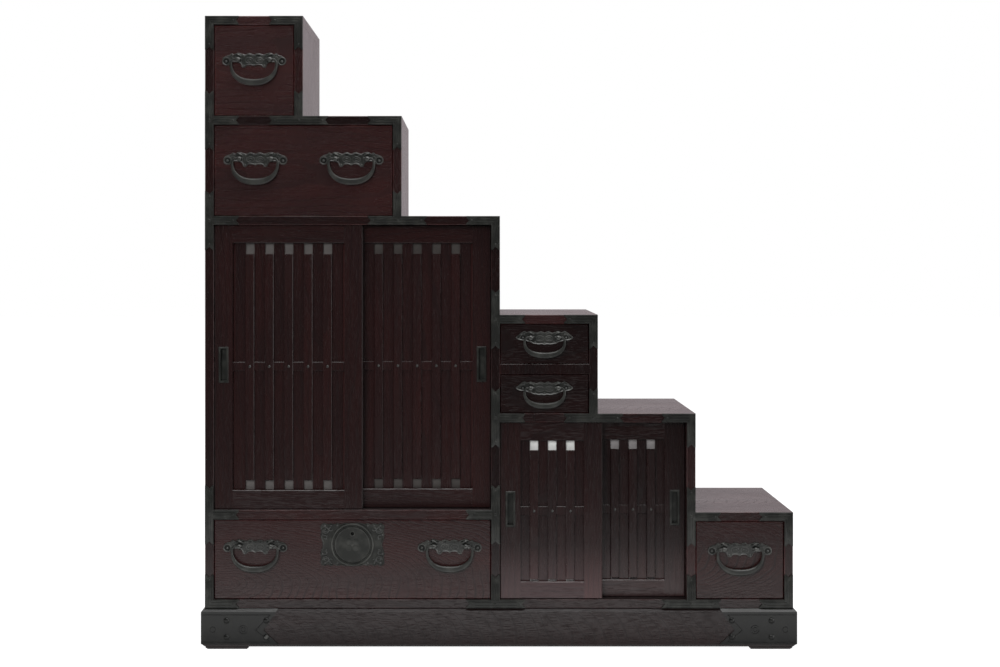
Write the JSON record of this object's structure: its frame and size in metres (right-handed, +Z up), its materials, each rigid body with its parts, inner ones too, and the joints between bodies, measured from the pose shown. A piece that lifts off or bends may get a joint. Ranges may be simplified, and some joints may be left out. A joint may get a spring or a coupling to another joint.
{
  "type": "step chest",
  "caption": "Stepped wooden chest with drawers, lattice sliding doors, iron straps and swinging bail handles on a low base; its side climbs like a staircase.",
  "frame": {"origin": "on the floor, under the middle of the chest's overall box", "axes": "+Z up, the front with its doors and drawers faces -Y, the steps climb towards -X"},
  "size_m": [1.2146, 0.4015, 1.2931],
  "materials": {
    "dark_lacquered_wood": "semi-gloss dark red-brown lacquer over open grain",
    "plain_drawer_wood": "unfinished planed softwood",
    "grey_backing_board": "thin matte grey board",
    "black_iron": "black oxidised iron, satin"
  },
  "bodies": {
    "case": {"base_frame": "dark_lacquered_wood", "base_iron_left": "black_iron", "base_iron_right": "black_iron", "bottom_board": "dark_lacquered_wood", "left_side": "dark_lacquered_wood", "middle_side": "dark_lacquered_wood", "step_1_side": "dark_lacquered_wood", "step_2_side": "dark_lacquered_wood", "step_4_side": "dark_lacquered_wood", "step_5_side": "dark_lacquered_wood", "step_6_side": "dark_lacquered_wood", "step_1_tread": "dark_lacquered_wood", "step_2_tread": "dark_lacquered_wood", "step_3_tread": "dark_lacquered_wood", "step_4_tread": "dark_lacquered_wood", "step_5_tread": "dark_lacquered_wood", "step_6_tread": "dark_lacquered_wood", "cupboard_shelf": "dark_lacquered_wood", "back_panel": "plain_drawer_wood"},
    "top_drawer": {"top_drawer_front": "dark_lacquered_wood", "top_drawer_tray": "plain_drawer_wood", "top_drawer_plate": "black_iron"},
    "top_drawer_bail": {"top_drawer_bail": "black_iron"},
    "second_drawer": {"second_drawer_front": "dark_lacquered_wood", "second_drawer_tray": "plain_drawer_wood", "second_drawer_left_plate": "black_iron", "second_drawer_right_plate": "black_iron"},
    "second_drawer_left_bail": {"second_drawer_left_bail": "black_iron"},
    "second_drawer_right_bail": {"second_drawer_right_bail": "black_iron"},
    "wide_drawer": {"wide_drawer_front": "dark_lacquered_wood", "wide_drawer_tray": "plain_drawer_wood", "wide_drawer_left_plate": "black_iron", "wide_drawer_right_plate": "black_iron", "lock_plate": "black_iron"},
    "wide_drawer_left_bail": {"wide_drawer_left_bail": "black_iron"},
    "wide_drawer_right_bail": {"wide_drawer_right_bail": "black_iron"},
    "small_upper_drawer": {"small_upper_drawer_front": "dark_lacquered_wood", "small_upper_drawer_tray": "plain_drawer_wood", "small_upper_drawer_plate": "black_iron"},
    "small_upper_drawer_bail": {"small_upper_drawer_bail": "black_iron"},
    "small_lower_drawer": {"small_lower_drawer_front": "dark_lacquered_wood", "small_lower_drawer_tray": "plain_drawer_wood", "small_lower_drawer_plate": "black_iron"},
    "small_lower_drawer_bail": {"small_lower_drawer_bail": "black_iron"},
    "low_drawer": {"low_drawer_front": "dark_lacquered_wood", "low_drawer_tray": "plain_drawer_wood", "low_drawer_plate": "black_iron"},
    "low_drawer_bail": {"low_drawer_bail": "black_iron"},
    "big_left_door": {"big_left_door_frame": "dark_lacquered_wood", "big_left_door_panel": "grey_backing_board", "big_left_door_pull": "black_iron"},
    "big_right_door": {"big_right_door_frame": "dark_lacquered_wood", "big_right_door_panel": "grey_backing_board", "big_right_door_pull": "black_iron"},
    "small_left_door": {"small_left_door_frame": "dark_lacquered_wood", "small_left_door_panel": "grey_backing_board", "small_left_door_pull": "black_iron"},
    "small_right_door": {"small_right_door_frame": "dark_lacquered_wood", "small_right_door_panel": "grey_backing_board", "small_right_door_pull": "black_iron"}
  },
  "joints": [
    {"name": "top_drawer_slide", "type": "slide", "parent": "case", "child": "top_drawer", "axis": [0, -1, 0], "range_m": [0, 0.3]},
    {"name": "top_drawer_bail_hinge", "type": "hinge", "parent": "top_drawer", "child": "top_drawer_bail", "pos_m": [-0.5, -0.19635, 1.2046], "axis": [-1, 0, 0], "range_deg": [-4.5, 100]},
    {"name": "second_drawer_slide", "type": "slide", "parent": "case", "child": "second_drawer", "axis": [0, -1, 0], "range_m": [0, 0.3]},
    {"name": "second_drawer_left_bail_hinge", "type": "hinge", "parent": "second_drawer", "child": "second_drawer_left_bail", "pos_m": [-0.4975, -0.19635, 1.0021], "axis": [-1, 0, 0], "range_deg": [-4.5, 100]},
    {"name": "second_drawer_right_bail_hinge", "type": "hinge", "parent": "second_drawer", "child": "second_drawer_right_bail", "pos_m": [-0.3012, -0.19635, 1.0021], "axis": [-1, 0, 0], "range_deg": [-4.5, 100]},
    {"name": "wide_drawer_slide", "type": "slide", "parent": "case", "child": "wide_drawer", "axis": [0, -1, 0], "range_m": [0, 0.3]},
    {"name": "wide_drawer_left_bail_hinge", "type": "hinge", "parent": "wide_drawer", "child": "wide_drawer_left_bail", "pos_m": [-0.4975, -0.19635, 0.2117], "axis": [-1, 0, 0], "range_deg": [-4.5, 100]},
    {"name": "wide_drawer_right_bail_hinge", "type": "hinge", "parent": "wide_drawer", "child": "wide_drawer_right_bail", "pos_m": [-0.1006, -0.19635, 0.2117], "axis": [-1, 0, 0], "range_deg": [-4.5, 100]},
    {"name": "small_upper_drawer_slide", "type": "slide", "parent": "case", "child": "small_upper_drawer", "axis": [0, -1, 0], "range_m": [0, 0.3]},
    {"name": "small_upper_drawer_bail_hinge", "type": "hinge", "parent": "small_upper_drawer", "child": "small_upper_drawer_bail", "pos_m": [0.09285, -0.19635, 0.6372], "axis": [-1, 0, 0], "range_deg": [-5.5, 100]},
    {"name": "small_lower_drawer_slide", "type": "slide", "parent": "case", "child": "small_lower_drawer", "axis": [0, -1, 0], "range_m": [0, 0.3]},
    {"name": "small_lower_drawer_bail_hinge", "type": "hinge", "parent": "small_lower_drawer", "child": "small_lower_drawer_bail", "pos_m": [0.09285, -0.19635, 0.5342], "axis": [-1, 0, 0], "range_deg": [-5.5, 100]},
    {"name": "low_drawer_slide", "type": "slide", "parent": "case", "child": "low_drawer", "axis": [0, -1, 0], "range_m": [0, 0.3]},
    {"name": "low_drawer_bail_hinge", "type": "hinge", "parent": "low_drawer", "child": "low_drawer_bail", "pos_m": [0.4916, -0.19635, 0.2054], "axis": [-1, 0, 0], "range_deg": [-4.5, 100]},
    {"name": "big_left_door_slide", "type": "slide", "parent": "case", "child": "big_left_door", "axis": [1, 0, 0], "range_m": [0, 0.26]},
    {"name": "big_right_door_slide", "type": "slide", "parent": "case", "child": "big_right_door", "axis": [-1, 0, 0], "range_m": [0, 0.26]},
    {"name": "small_left_door_slide", "type": "slide", "parent": "case", "child": "small_left_door", "axis": [1, 0, 0], "range_m": [0, 0.171]},
    {"name": "small_right_door_slide", "type": "slide", "parent": "case", "child": "small_right_door", "axis": [-1, 0, 0], "range_m": [0, 0.171]}
  ]
}
